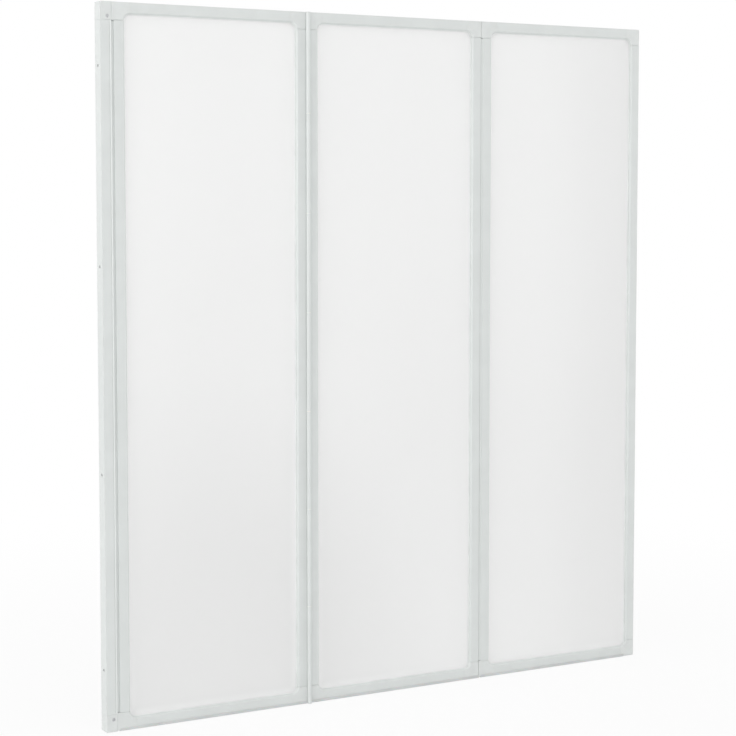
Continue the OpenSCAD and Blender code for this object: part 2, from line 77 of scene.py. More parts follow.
camera = new_object("camera", bpy.data.cameras.new("camera"))
camera.location = CAMERA_PLACE
camera.rotation_euler = (radians(90 - CAMERA_PITCH), 0, radians(-CAMERA_YAW))
camera.data.lens = CAMERA_LENS
camera.data.sensor_width = SENSOR_WIDTH
camera.data.shift_y = CAMERA_SHIFT
bpy.context.scene.camera = camera
print("camera", [round(v, 3) for v in camera.location], "lens", camera.data.lens)

# %% [markdown]
# ## Node groups: effects that several finishes share
# A powder coat, a moulding and a plastic sheet show the same few effects at different strengths: soft light
# along an edge, a fine skin, slow changes of tone, and the marks of dried water. Each effect is one node
# group with named sockets, so that a material only sets its own values. A group gives masks, heights or
# normals, and the shader stays in the material.

# %% Helpers for nodes
def new_group(name, inputs, *outputs):
    """Empty group with float inputs {name: default} and named outputs, and the sockets of both inside it."""
    group = bpy.data.node_groups.new(name, "ShaderNodeTree")
    for socket, default in inputs.items():
        made = group.interface.new_socket(socket, in_out="INPUT", socket_type="NodeSocketFloat")
        made.default_value = default
    for socket in outputs:
        kind = "NodeSocketVector" if socket == "Normal" else "NodeSocketFloat"
        group.interface.new_socket(socket, in_out="OUTPUT", socket_type=kind)
    print("group", name)
    return group, group.nodes.new("NodeGroupInput").outputs, group.nodes.new("NodeGroupOutput").inputs


def feed(tree, target, value):
    """A socket is linked, a number or colour is written into the target."""
    if isinstance(value, bpy.types.NodeSocket):
        tree.links.new(value, target)
    else:
        target.default_value = value


def add_node(tree, kind, inputs, **settings):
    """New shader node with its settings made and its inputs fed, each by its name or number."""
    node = tree.nodes.new("ShaderNode" + kind)
    for name, value in settings.items():
        setattr(node, name, value)
    for name, value in inputs.items():
        feed(tree, node.inputs[name], value)
    return node


def math_node(tree, operation, *values, clamp=False):
    """Result of one Math node on sockets or numbers."""
    return add_node(tree, "Math", dict(enumerate(values)), operation=operation, use_clamp=clamp).outputs[0]


def times(tree, first, second):
    """Product of two sockets or numbers."""
    return math_node(tree, "MULTIPLY", first, second)


def plus(tree, first, second):
    """Sum of two sockets or numbers."""
    return math_node(tree, "ADD", first, second)


def vector_node(tree, operation, first, second):
    """Vector Math node on two vectors, sockets or fixed ones."""
    return add_node(tree, "VectorMath", {0: first, 1: second}, operation=operation)


def noise(tree, vector, scale, detail=2.0, roughness=0.5):
    """Grey value of a Noise Texture, about 0.5 on average."""
    return add_node(tree, "TexNoise", {"Vector": vector, "Scale": scale, "Detail": detail,
                                       "Roughness": roughness}).outputs["Fac"]


def object_place(tree):
    """Object coordinates, in metres."""
    return tree.nodes.new("ShaderNodeTexCoord").outputs["Object"]


def place_along(tree, axis):
    """One object coordinate, along X, Y or Z."""
    return add_node(tree, "SeparateXYZ", {0: object_place(tree)}).outputs[axis]


def stretched(tree, factors):
    """Object coordinates times a factor on each axis; a small factor stretches the pattern along it."""
    return add_node(tree, "Mapping", {"Vector": object_place(tree), "Scale": factors}).outputs[0]


def between(tree, value, low, high, to_low=0.0, to_high=1.0):
    """Smooth step: to_low below low, to_high above high."""
    numbers = enumerate((value, low, high, to_low, to_high))
    return add_node(tree, "MapRange", dict(numbers), interpolation_type="SMOOTHSTEP").outputs[0]


print("helpers for nodes are ready")

# %% [markdown]
# ### Soft edges
# Sawn and moulded edges are never quite sharp: a thin line along each catches the light, and there the coat
# is worn a little smoother. Rounding them all in the mesh would cost many faces. The Bevel node turns the
# normal near an edge as if it were round, and how far it is turned is a ready mask for the wear and for a
# painted highlight, a lighter colour along the edge.

# %% Group: soft edges
BEVEL_SAMPLES = 4
# Limits of the edge mask, which drives both the smoother wear and a painted highlight.
SHEEN_AND_WEAR_BELOW, FLAT_ABOVE = 0.80, 0.995


def make_soft_edges():
    """The rounded normal, and a mask from the cosine between it and the real one."""
    group, given, result = new_group("soft_edges", {"Radius": 0.0005}, "Normal", "Edge")
    rounded = add_node(group, "Bevel", {"Radius": given["Radius"]}, samples=BEVEL_SAMPLES).outputs[0]
    real = group.nodes.new("ShaderNodeNewGeometry").outputs["Normal"]
    cosine = vector_node(group, "DOT_PRODUCT", rounded, real).outputs["Value"]
    group.links.new(rounded, result["Normal"])
    group.links.new(between(group, cosine, SHEEN_AND_WEAR_BELOW, FLAT_ABOVE, 1.0, 0.0), result["Edge"])
    return group


SOFT_EDGES = make_soft_edges()

# %% [markdown]
# ### Skin
# Powder that melts in the oven leaves low hills a millimetre or two across, the orange peel, with a finer
# grain on top. A moulding has the same in small, from the spark-cut tool. The group adds two noises, of the
# given size and of a third of it, and gives the height for a Bump node and a patchy mask for the roughness.

# %% Group: skin
HILLS_PER_GRAIN = 3.1
PATCHES_PER_M = 23.0


def make_skin():
    group, given, result = new_group("skin", {"Size": 0.0018, "Fine": 0.3}, "Height", "Patches")
    place = stretched(group, (1, 1, 1))
    scale = math_node(group, "DIVIDE", 1.0, given["Size"])
    hills = noise(group, place, scale, 1.0)
    grain = noise(group, place, times(group, scale, HILLS_PER_GRAIN))
    height = plus(group, hills, times(group, grain, given["Fine"]))
    group.links.new(height, result["Height"])
    group.links.new(noise(group, place, PATCHES_PER_M, 3.0), result["Patches"])
    return group


SKIN = make_skin()

# %% [markdown]
# ### Water marks
# On a bath screen drops run down, hang and dry, and leave faint rings and runs of lime, most of them low down
# where the spray lands. Rings are the thin shell of Voronoi cells at one distance from their points, and only
# some cells keep theirs. Runs are a noise squeezed sideways. Both fade with height.

# %% Group: water marks
CELLS_PER_M, KEPT_PER_M = 85.0, 31.0
RING_AT, RING_WIDTH, RING_KEPT = 0.30, 0.07, (0.55, 0.62)
RUN_STRETCH, RUN_RANGE = (90, 90, 2.2), (0.56, 0.78)
LEFT_AT_TOP = 0.15


def make_water_marks():
    group, given, result = new_group("water_marks", {"Top": 1.3, "Rings": 1.0, "Runs": 1.0}, "Marks")
    place = stretched(group, (1, 1, 0.8))
    cells = add_node(group, "TexVoronoi", {"Vector": place, "Scale": CELLS_PER_M})
    off = math_node(group, "ABSOLUTE", math_node(group, "SUBTRACT", cells.outputs["Distance"], RING_AT))
    kept = between(group, noise(group, place, KEPT_PER_M), *RING_KEPT)
    rings = times(group, between(group, off, 0.0, RING_WIDTH, 1.0, 0.0), kept)
    runs = between(group, noise(group, stretched(group, RUN_STRETCH), 1.0, 3.0, 0.6), *RUN_RANGE)
    both = plus(group, times(group, rings, given["Rings"]), times(group, runs, given["Runs"]))
    low = between(group, place_along(group, "Z"), 0.0, given["Top"], 1.0, LEFT_AT_TOP)
    group.links.new(math_node(group, "MULTIPLY", both, low, clamp=True), result["Marks"])
    return group


WATER_MARKS = make_water_marks()

# %% [markdown]
# ### Drawn lines
# A pin, a screw and an extruded bar carry fine lines along the way they were drawn or turned. A noise that is
# stretched many times along one axis gives them, and two of different sizes don't look like a comb.

# %% Group: drawn lines
FINE_LINES = 3.7


def make_drawn_lines():
    group, given, result = new_group("drawn_lines", {"Along x": 1.0, "Along z": 1.0, "Across": 1.0}, "Lines")
    factors = {0: given["Along x"], 1: given["Across"], 2: given["Along z"]}
    factors = add_node(group, "CombineXYZ", factors).outputs[0]
    scaled = vector_node(group, "MULTIPLY", object_place(group), factors).outputs[0]
    coarse, fine = (noise(group, scaled, size) for size in (1.0, FINE_LINES))
    group.links.new(times(group, plus(group, coarse, fine), 0.5), result["Lines"])
    return group


DRAWN_LINES = make_drawn_lines()

# %% [markdown]
# ## Finishes
# Every material is built the same way: a main colour in two tones, and others for a painted highlight along
# the edges and for lime where it has them, mixed by masks from the groups; a roughness that a mask changes;
# and a bump whose depth is in real metres. The base colours are those of the photo's surfaces under plain
# light, a cool white a little on the green side.

# %% Helpers for materials
def use_group(tree, group, **values):
    """Outputs of a node group placed with its inputs set from keywords, whose _ stands for a blank."""
    values = {name.replace("_", " "): value for name, value in values.items()}
    return add_node(tree, "Group", values, node_tree=group).outputs


def mix_colour(tree, factor, first, second):
    """First colour where the factor is 0, second where it is 1."""
    first, second = ((*c, 1.0) if isinstance(c, tuple) else c for c in (first, second))
    return add_node(tree, "Mix", {0: factor, 6: first, 7: second}, data_type="RGBA").outputs[2]


def tinted(colour, factor):
    """The colour made lighter or darker by a factor."""
    return tuple(min(1.0, c * factor) for c in colour)


def two_tones(tree, mask, colour, low, high):
    """The colour times low where the mask is 0, times high where it is 1."""
    return mix_colour(tree, mask, tinted(colour, low), tinted(colour, high))


def over(tree, colour, other, mask, share):
    """The other colour laid over the first where the mask is, as strongly as the share says."""
    return mix_colour(tree, times(tree, mask, share), colour, other)


def new_material(name, **plain):
    """Material with one Principled shader. The keywords are written into its sockets, _ for a blank."""
    material = bpy.data.materials.new(name)
    material.use_nodes = True
    shader = material.node_tree.nodes["Principled BSDF"]
    for socket, value in plain.items():
        shader.inputs[socket.replace("_", " ")].default_value = value
    print("finish", name)
    return material, material.node_tree


def finished(material, colour, roughness, height, depth, **normal):
    """Feeds the shader. The bump has a height, a depth in metres and, if given, a turned Normal under it."""
    tree = material.node_tree
    relief = add_node(tree, "Bump", {"Height": height, "Distance": depth, **normal}).outputs[0]
    shader = tree.nodes["Principled BSDF"]
    for socket, value in (("Base Color", colour), ("Roughness", roughness), ("Normal", relief)):
        feed(tree, shader.inputs[socket], value)
    return material


print("helpers for materials are ready")

# %% [markdown]
# ### White coated aluminium
# Bars, leaves and the wall profile are extruded and powder-coated. The photo shows an even satin white, whose
# highlights are wide and soft, so the roughness is middling. Under the orange peel the die lines of the
# extrusion still show faintly, along z on uprights and along x on rails, so the finish is made once for each
# direction.

# %% Material: white coat
COAT_WHITE = (0.70, 0.727, 0.716)
LIME_ON_COAT = (0.79, 0.79, 0.76)
PATCH_RANGE = (0.3, 0.7)
COAT_ROUGHNESS, COAT_DEPTH = (0.33, 0.41), 0.000035
LIME_ROUGHER, EDGE_SMOOTHER, LINE_HEIGHT = 0.15, 0.06, 0.35


def make_white_coat(name, **line_factors):
    material, tree = new_material(name)
    edges = use_group(tree, SOFT_EDGES, Radius=0.0006)
    skin = use_group(tree, SKIN, Size=0.0017, Fine=0.25)
    marks = use_group(tree, WATER_MARKS, Top=1.2, Rings=0.7, Runs=0.5)
    lines = use_group(tree, DRAWN_LINES, **line_factors)
    edge, lime, patches = edges["Edge"], marks["Marks"], skin["Patches"]
    colour = two_tones(tree, between(tree, patches, *PATCH_RANGE), COAT_WHITE, low=0.985, high=1.015)
    # Painted highlight: the colour is lighter along the edges, where the Bevel mask is.
    colour = over(tree, colour, tinted(COAT_WHITE, 1.09), edge, share=0.5)
    colour = over(tree, colour, LIME_ON_COAT, lime, share=0.16)
    rough = between(tree, patches, *PATCH_RANGE, *COAT_ROUGHNESS)
    rough = plus(tree, rough, times(tree, lime, LIME_ROUGHER))
    rough = math_node(tree, "SUBTRACT", rough, times(tree, edge, EDGE_SMOOTHER))
    height = plus(tree, skin["Height"], times(tree, lines["Lines"], LINE_HEIGHT))
    return finished(material, colour, rough, height, COAT_DEPTH, Normal=edges["Normal"])


COAT_UPRIGHT = make_white_coat("white_coat_upright", Along_x=900.0, Along_z=4.0, Across=900.0)
COAT_LEVEL = make_white_coat("white_coat_level", Along_x=4.0, Along_z=900.0, Across=900.0)

# %% [markdown]
# ### White mouldings
# Corner pieces, the ends of the wall profile and the caps on the pins are injection moulded. Their white
# never quite meets the coat's: it is a shade lighter and more matt, with a much finer spark-cut skin. Faint
# flow patches, a finger's breadth across, change the tone inside one piece.

# %% Material: white moulding
MOULDING_WHITE = (0.715, 0.739, 0.728)
LIME_ON_MOULDING = (0.78, 0.78, 0.75)
FLOW_PER_M, FLOW_RANGE = 48.0, (0.35, 0.65)
MOULDING_ROUGHNESS, MOULDING_DEPTH = (0.40, 0.49), 0.00002


def make_moulding():
    material, tree = new_material("white_moulding")
    edges = use_group(tree, SOFT_EDGES, Radius=0.0005)
    skin = use_group(tree, SKIN, Size=0.0006, Fine=0.6)
    marks = use_group(tree, WATER_MARKS, Top=1.0, Rings=0.5, Runs=0.3)
    flow = between(tree, noise(tree, stretched(tree, (1, 1, 1)), FLOW_PER_M), *FLOW_RANGE)
    colour = two_tones(tree, flow, MOULDING_WHITE, low=0.975, high=1.01)
    # Painted highlight: the colour is lighter along the edges, where the Bevel mask is.
    colour = over(tree, colour, tinted(MOULDING_WHITE, 1.08), edges["Edge"], share=0.4)
    colour = over(tree, colour, LIME_ON_MOULDING, marks["Marks"], share=0.14)
    rough = between(tree, skin["Patches"], *PATCH_RANGE, *MOULDING_ROUGHNESS)
    return finished(material, colour, rough, skin["Height"], MOULDING_DEPTH, Normal=edges["Normal"])


MOULDING = make_moulding()

# %% [markdown]
# ### Milky sheet
# The sheets let light through but no shapes, and a low pebble leaves only one wide soft reflection. A share
# of Transmission with a rough surface does this: what stands behind a folded panel shows only as a soft
# shade. Pebbles are the smooth cells of a Voronoi texture. Near the frames the sheet's colour is painted
# lighter, a painted light that cancels the shade the frames throw on it. Subsurface would spread light there
# for real, but it is slow and grainy at this depth. The slow changes of tone hold painted light too: a dark
# dip low down is a painted reflection, and the darker free end is painted shade.

# %% Material: milky sheet
# The rim colour is a painted light; the dip and the fall below paint a reflection and shade.
SHEET_WHITE, PAINTED_RIM_LIGHT, LIME_ON_SHEET = (0.955, 0.957, 0.953), (0.992, 0.994, 0.990), (0.80, 0.80, 0.78)
PAINTED_DIP_PLACE, PAINTED_DIP_RANGE, SHADE_AND_CLOUD_TINT = (0.25, 0.0, 0.08), (0.13, 0.54), 0.89
PAINTED_FALL_RANGE = (1.00, 1.22)
CLOUDS_PER_M, CLOUD_RANGE = 2.6, (0.25, 0.75)
DIP_SHARE, FALL_SHARE, CLOUD_SHARE = 0.75, 0.4, 0.2
RIM_WIDTH, SHEET_HIDDEN = 0.021, 0.008
SHEET_ROUGHNESS, SHEET_DEPTH = (0.32, 0.36), 0.00003
PEBBLES_PER_M = 260.0


def painted_shade_and_clouds(tree):
    """Slow change of tone: a painted reflection, a faint dark dip round a place low down; painted shade,
    darker towards the free end; and clouds of random tone.
    """
    away = vector_node(tree, "DISTANCE", stretched(tree, (1, 1, 0.8)), PAINTED_DIP_PLACE).outputs["Value"]
    dip = between(tree, away, *PAINTED_DIP_RANGE, 1.0, 0.0)
    fall = between(tree, place_along(tree, "X"), *PAINTED_FALL_RANGE)
    cloud = between(tree, noise(tree, stretched(tree, (1, 1, 0.5)), CLOUDS_PER_M, 0.0), *CLOUD_RANGE)
    both = plus(tree, times(tree, dip, DIP_SHARE), times(tree, fall, FALL_SHARE))
    return plus(tree, both, times(tree, cloud, CLOUD_SHARE))


def painted_rim_light(tree):
    """Mask of the painted light on the rim, which cancels the frames' shade on the sheet: 1 where a sheet
    goes into its frame, falling to 0 over the rim's width: the distance from the middle of the nearest panel,
    sideways or upwards, measured against half of the opening, and squared."""
    low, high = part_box("panel_1_infill")
    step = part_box("panel_2_infill")[0][0] - low[0]
    near = []
    for axis, k, operation in (("X", 0, "PINGPONG"), ("Z", 2, "ABSOLUTE")):
        off = math_node(tree, "SUBTRACT", place_along(tree, axis), (low[k] + high[k]) / 2)
        half = (high[k] - low[k]) / 2 - SHEET_HIDDEN
        near.append(between(tree, math_node(tree, operation, off, step / 2), half - RIM_WIDTH, half))
    rim = math_node(tree, "MAXIMUM", *near)
    return times(tree, rim, rim)


def make_milky_sheet():
    material, tree = new_material("milky_sheet", IOR=1.49, Transmission_Weight=0.08)
    lime = use_group(tree, WATER_MARKS, Top=1.1, Rings=0.5, Runs=0.7)["Marks"]
    shade_and_clouds = painted_shade_and_clouds(tree)
    # Painted reflection and painted shade: darker in a dip low down and towards the free end, with random
    # clouds.
    colour = two_tones(tree, shade_and_clouds, SHEET_WHITE, 1.0, SHADE_AND_CLOUD_TINT)
    # Painted light: the rim is made lighter to cancel the shade of the frames.
    colour = over(tree, colour, PAINTED_RIM_LIGHT, painted_rim_light(tree), share=0.7)
    colour = over(tree, colour, LIME_ON_SHEET, lime, share=0.05)
    rough = plus(tree, between(tree, shade_and_clouds, 0.0, 1.0, *SHEET_ROUGHNESS), times(tree, lime, 0.06))
    pebbles = add_node(tree, "TexVoronoi", {"Vector": stretched(tree, (1, 1, 1)), "Scale": PEBBLES_PER_M,
                                            "Smoothness": 0.6}, feature="SMOOTH_F1")
    return finished(material, colour, rough, pebbles.outputs["Distance"], SHEET_DEPTH)


MILKY_SHEET = make_milky_sheet()

# %% [markdown]
# ### Soft profiles
# The gasket round each sheet is a white rubber, the seal under the frames a greyer vinyl that light enters a
# little. Both are dull, change in patches and have a grain finer than the coat. The vinyl gets a little
# Subsurface, so that its thin walls don't look like stone.

# %% Materials: gasket rubber and seal vinyl
LIME_ON_RUBBER = (0.74, 0.74, 0.71)
RUBBER_DEPTH = 0.00003


def make_soft_profile(name, colour, smooth, dull, dust, **plain):
    """Soft plastic whose roughness goes from smooth to dull, and on which lime shows by the share of dust."""
    material, tree = new_material(name, **plain)
    skin = use_group(tree, SKIN, Size=0.0009, Fine=0.8)
    marks = use_group(tree, WATER_MARKS, Top=0.9, Rings=0.4, Runs=0.9)
    patches = between(tree, skin["Patches"], 0.35, 0.65)
    shade = over(tree, two_tones(tree, patches, colour, 0.955, 1.03), LIME_ON_RUBBER, marks["Marks"], dust)
    rough = between(tree, patches, 0.0, 1.0, smooth, dull)
    return finished(material, shade, rough, skin["Height"], RUBBER_DEPTH)


GASKET_RUBBER = make_soft_profile("gasket_rubber", (0.87, 0.88, 0.875), smooth=0.52, dull=0.66, dust=0.2)
SEAL_VINYL = make_soft_profile("seal_vinyl", (0.62, 0.64, 0.635), smooth=0.36, dull=0.50, dust=0.25,
                               Subsurface_Weight=0.15, Subsurface_Scale=0.002)

# %% [markdown]
# ### Stainless steel and nylon
# Pins and screws are made of stainless wire: lines run round or along them, and the metal is duller where the
# lines are deep. The washers between the knuckles are natural nylon, waxy and a little yellow.

# %% Materials: stainless steel and nylon
STEEL_TONES, STEEL_DULL = ((0.58, 0.59, 0.60), (0.68, 0.69, 0.70)), (0.50, 0.49, 0.47)
NYLON_TONES = (0.80, 0.79, 0.74), (0.86, 0.86, 0.83)
STEEL_ROUGHNESS, NYLON_ROUGHNESS, FINE_DEPTH = (0.42, 0.31), (0.40, 0.52), 0.00001


def make_stainless():
    material, tree = new_material("stainless_steel", Metallic=1.0)
    lines = use_group(tree, DRAWN_LINES, Along_x=2500.0, Along_z=2500.0, Across=60.0)["Lines"]
    patches = use_group(tree, SKIN, Size=0.0012, Fine=0.5)["Patches"]
    colour = mix_colour(tree, between(tree, lines, 0.42, 0.6), *STEEL_TONES)
    colour = mix_colour(tree, between(tree, patches, 0.5, 0.8, 0.0, 0.3), colour, STEEL_DULL)
    return finished(material, colour, between(tree, lines, 0.35, 0.65, *STEEL_ROUGHNESS), lines, FINE_DEPTH)


def make_nylon():
    material, tree = new_material("natural_nylon", Subsurface_Weight=0.2, Subsurface_Scale=0.001)
    skin = use_group(tree, SKIN, Size=0.0005, Fine=0.5)
    colour = mix_colour(tree, skin["Patches"], *NYLON_TONES)
    rough = between(tree, skin["Patches"], *PATCH_RANGE, *NYLON_ROUGHNESS)
    return finished(material, colour, rough, skin["Height"], FINE_DEPTH)


STAINLESS = make_stainless()
NYLON = make_nylon()

# %% [markdown]
# ## Finishing the CAD parts
# Bars, leaves, wall parts, pins and washers keep their exact CAD shape and only get a material. The name of a
# part says which finish it has, so a short list of endings is enough.

# %% Materials on the CAD nodes
ENDINGS = (
    (COAT_LEVEL, ("_rail",)), (COAT_UPRIGHT, ("_stile", "_leaf", "_channel", "_profile")),
    (MOULDING, ("_caps", "_top", "_bottom", "_left", "_right")), (STAINLESS, ("_pin", "screws")),
    (NYLON, ("_washers",)), (MILKY_SHEET, ("_infill",)), (GASKET_RUBBER, ("_gasket",)),
    (SEAL_VINYL, ("_seal", "_strip")))

for name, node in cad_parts.items():
    finish = next(material for material, endings in ENDINGS if name.endswith(endings))
    node.data.materials.clear()
    node.data.materials.append(finish)
print("finished CAD nodes", len(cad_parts))

# %% [markdown]
# ## Surfaces from arrays
# All new pieces are lofts: a stack of rings, each a closed loop with the same number of points. One array
# holds them, rows for rings and columns for points round a ring, and neighbours are joined by four-sided
# faces. An end is closed by triangles that run to a point or by one flat face. If the volume that the faces
# enclose comes out negative, all are turned round, so that they point outwards.

# %% Helpers for surfaces
SMOOTH_BELOW = 34


def faces_outward(points, faces):
    """The faces, turned round if their volume, the sum of a . (b x c) / 6 over triangles, is negative."""
    total = 0.0
    for sides in {len(f) for f in faces}:
        loop = points[np.array([f for f in faces if len(f) == sides])]
        for k in range(1, sides - 1):
            total += np.einsum("ij,ij->i", loop[:, 0], np.cross(loop[:, k], loop[:, k + 1])).sum()
    return faces if total > 0 else [f[::-1] for f in faces]


def loft(rings, ends="flat"):
    """Surface through rings[ring, point, xyz]. Its ends are flat or a point; a round path has none."""
    count, size = rings.shape[:2]
    points = rings.reshape(-1, 3)
    rows = np.arange(count if ends == "none" else count - 1)
    here = rows[:, None] * size + np.arange(size)
    there = ((rows + 1) % count)[:, None] * size + np.arange(size)
    quads = np.stack([here, np.roll(here, -1, 1), np.roll(there, -1, 1), there], -1).reshape(-1, 4)
    faces = quads.tolist()
    for ring in () if ends == "none" else (0, count - 1):
        loop = np.arange(size) + ring * size
        if ends == "point":
            points = np.vstack([points, rings[ring].mean(0)])
            fan = np.stack([np.roll(loop, -1), loop, np.full(size, len(points) - 1)], -1)
            faces += (fan if ring == 0 else fan[:, [1, 0, 2]]).tolist()
        else:
            faces.append((loop[::-1] if ring == 0 else loop).tolist())
    return points, faces_outward(points, faces)


def grid(x, y, z):
    """Rings of points from arrays for x, y and z, each repeated where it lacks rows or columns."""
    return np.stack(np.broadcast_arrays(x, y, z), -1)


def joined(parts):
    """Several surfaces as one list of points and faces."""
    offset, points, faces = 0, [], []
    for part_points, part_faces in parts:
        points.append(part_points)
        faces += [[i + offset for i in face] for face in part_faces]
        offset += len(part_points)
    return np.vstack(points), faces


def make_piece(name, surface, material, body, slot, *replaced):
    """Mesh object from a surface in millimetres, smooth where its faces meet at a small angle."""
    points, faces = surface
    mesh = bpy.data.meshes.new(name)
    mesh.from_pydata((points * MM).tolist(), [], faces)
    mesh.materials.append(material)
    mesh.shade_smooth()
    mesh.set_sharp_from_angle(angle=radians(SMOOTH_BELOW))
    piece = new_object(name, mesh)
    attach(piece, body)
    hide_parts(*replaced)
    print(name, "faces", len(mesh.polygons))


def soft_corners(corners, radii, steps=4, beside=0.0):
    """Closed outline whose corners are blended: each becomes (1-t)^2 A + 2t(1-t) C + t^2 B, with A and B on
    the edges at the given radius from the corner C. With beside, one more point lies that far past each."""
    corners = np.array(corners, float)
    radii = np.array(radii, float)[:, None]
    back, ahead = np.roll(corners, 1, 0) - corners, np.roll(corners, -1, 0) - corners
    back /= np.linalg.norm(back, axis=1, keepdims=True)
    ahead /= np.linalg.norm(ahead, axis=1, keepdims=True)
    start, end = corners + back * radii, corners + ahead * radii
    t = np.linspace(0, 1, steps)[None, :, None]
    blend = (1 - t) ** 2 * start[:, None] + 2 * t * (1 - t) * corners[:, None] + t ** 2 * end[:, None]
    if beside:
        blend = np.concatenate([(start + back * beside)[:, None], blend, (end + ahead * beside)[:, None]], 1)
    return blend.reshape(-1, 2)


def mirrored(half, flipped, steps=4):
    """Outline with soft corners, from (a, b, radius) of one side and its mirror image in a (0) or b (1)."""
    other = np.array(half[::-1])
    other[:, flipped] *= -1
    whole = np.vstack([half, other])
    return soft_corners(whole[:, :2], whole[:, 2], steps)


def four_corners(steps):
    """Angles of the arcs round the four corners of a frame, a row for each, in radians."""
    return np.radians(np.linspace(0, 90, steps) + np.array([[0], [90], [180], [270]]))


def box_mm(node):
    """Lowest and highest corner of a CAD node in millimetres."""
    low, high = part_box(node)
    return np.array(low) / MM, np.array(high) / MM


print("helpers for surfaces are ready")

# %% [markdown]
# ## Where things are
# The frames' edges and the hinge axes are read from the boxes of the CAD parts, so the pieces below follow
# the model. A hinge's knuckles need a free space round their axis: `clear_of_hinges` pushes each point that
# lies in this cylinder straight out to its surface.

# %% Places
PANELS = (1, 2, 3)
HINGE_OF_EDGE = {(1, "left"): "a", (1, "right"): "b", (2, "left"): "b", (2, "right"): "c", (3, "left"): "c"}
FREE_RADIUS = 4.9
FRAME_EDGES = {i: (box_mm(f"panel_{i}_left_stile")[0][0], box_mm(f"panel_{i}_right_stile")[1][0])
               for i in PANELS}
FRAME_LOW = box_mm("panel_1_bottom_rail")[0][2]
FRAME_HIGH = box_mm("panel_1_top_rail")[1][2]
AXES = {h: sum(box_mm(f"hinge_{h}_pin"))[:2] / 2 for h in "abc"}


def clear_of_hinges(points, panel):
    """Points nearer to a hinge axis of the panel than the free radius move straight out to that radius."""
    points = points.copy()
    for side in ("left", "right"):
        if (panel, side) in HINGE_OF_EDGE:
            off = points[..., :2] - AXES[HINGE_OF_EDGE[panel, side]]
            far = np.linalg.norm(off, axis=-1, keepdims=True)
            points[..., :2] += off * (np.maximum(FREE_RADIUS / far, 1) - 1)
    return points


def make_on_panels(name, surface, material, slot, replaced):
    """The same kind of piece on each panel, from a function that gives a panel's surface."""
    for panel in PANELS:
        make_piece(f"{name}_{panel}", surface(panel), material, f"panel_{panel}", slot,
                   f"panel_{panel}_{replaced}")


print("frame edges", FRAME_EDGES, "z", FRAME_LOW, FRAME_HIGH)
print("hinge axes", {h: a.round(2).tolist() for h, a in AXES.items()})

# %% [markdown]
# ## The sheets
# A plastic sheet of this size is never flat: it came off its rolls with long low waves, which bend its
# reflections. The waves are a sum of a few cosines of x and z, at most a seventh of a millimetre high. The
# outline is a rectangle with round corners, and the rings are copies of it in all sizes: from the middle of
# the front outwards, round the edge and back to the middle of the rear.

# %% Sheets
SHEET_IN_FRAME, SHEET_CORNER = 15.0, 20.0
SHEET_HALF, SHEET_EDGE = 1.35, 0.4
SHEET_WAVE = 0.045
SHEET_RINGS = 26


def round_rectangle(width, height, radius, steps=10, spacing=30.0):
    """Points round a rectangle with corner arcs, centred on 0. On the straight sides they are at most spacing
    apart, found by interpolation along the outline."""
    turn = four_corners(steps)
    middle = np.array([[1, 1], [-1, 1], [-1, -1], [1, -1]]) * [width / 2 - radius, height / 2 - radius]
    arcs = (middle[:, None] + radius * np.stack([np.cos(turn), np.sin(turn)], -1)).reshape(-1, 2)
    closed = np.vstack([arcs, arcs[:1]])
    length = np.r_[0, np.cumsum(np.linalg.norm(np.diff(closed, axis=0), axis=1))]
    wanted = np.unique(np.r_[length, np.arange(0, length[-1], spacing)])[:-1]
    return np.stack([np.interp(wanted, length, closed[:, k]) for k in (0, 1)], -1)


def sheet_wave(x, z, panel):
    """Long waves: three cosine terms of different lengths, with a phase of their own on each panel."""
    return SHEET_WAVE * (np.cos(x / 61 + panel) * np.cos(z / 190 + 2 * panel)
                         + np.cos(x / 97 - z / 150 - panel) + np.cos(z / 83 + x / 240 + 3 * panel))


def sheet_surface(panel):
    """The outline scaled about the middle, from the middle of the front to the middle of the back."""
    left, right = FRAME_EDGES[panel]
    middle = np.array([(left + right) / 2, (FRAME_LOW + FRAME_HIGH) / 2])
    width, height = right - left - 2 * SHEET_IN_FRAME, FRAME_HIGH - FRAME_LOW - 2 * SHEET_IN_FRAME
    grow = np.r_[np.linspace(0.04, 0.998, SHEET_RINGS), 1.0]
    scale = np.r_[grow, grow[::-1]]
    side, edge = np.full(SHEET_RINGS, SHEET_HALF), SHEET_HALF - SHEET_EDGE
    y = np.r_[-side, -edge, edge, side]
    flat = middle + scale[:, None, None] * round_rectangle(width, height, SHEET_CORNER)
    wave = sheet_wave(flat[..., 0], flat[..., 1], panel)
    return loft(grid(flat[..., 0], y[:, None] + wave, flat[..., 1]), ends="point")


make_on_panels("sheet", sheet_surface, MILKY_SHEET, "milky_sheet", "infill")

# %% [markdown]
# ## The gaskets
# Each sheet sits in a U of rubber pressed into the frame's groove, whose two lips lie on the sheet and show
# as a thin line inside the frame. The CAD solid has square lips. Here a profile with round lips and with
# small ribs, which grip the groove, is carried round the frame: at a corner every point of it turns about the
# same centre, 35 mm in from both edges.

# %% Gaskets
CORNER_LEG = 35.0
GASKET_ARC = 13
GASKET_PROFILE = mirrored([
    (14.15, -2.85, 0.5), (18.0, -2.85, 0.15), (18.5, -2.6, 0.1), (19.5, -2.85, 0.1), (20.0, -2.6, 0.15),
    (21.6, -2.8, 0.4), (23.1, -2.7, 0.5), (24.0, -1.95, 0.3), (23.6, -1.62, 0.15), (19.0, -1.7, 0.5),
    (15.0, -1.58, 0.1)], flipped=1)


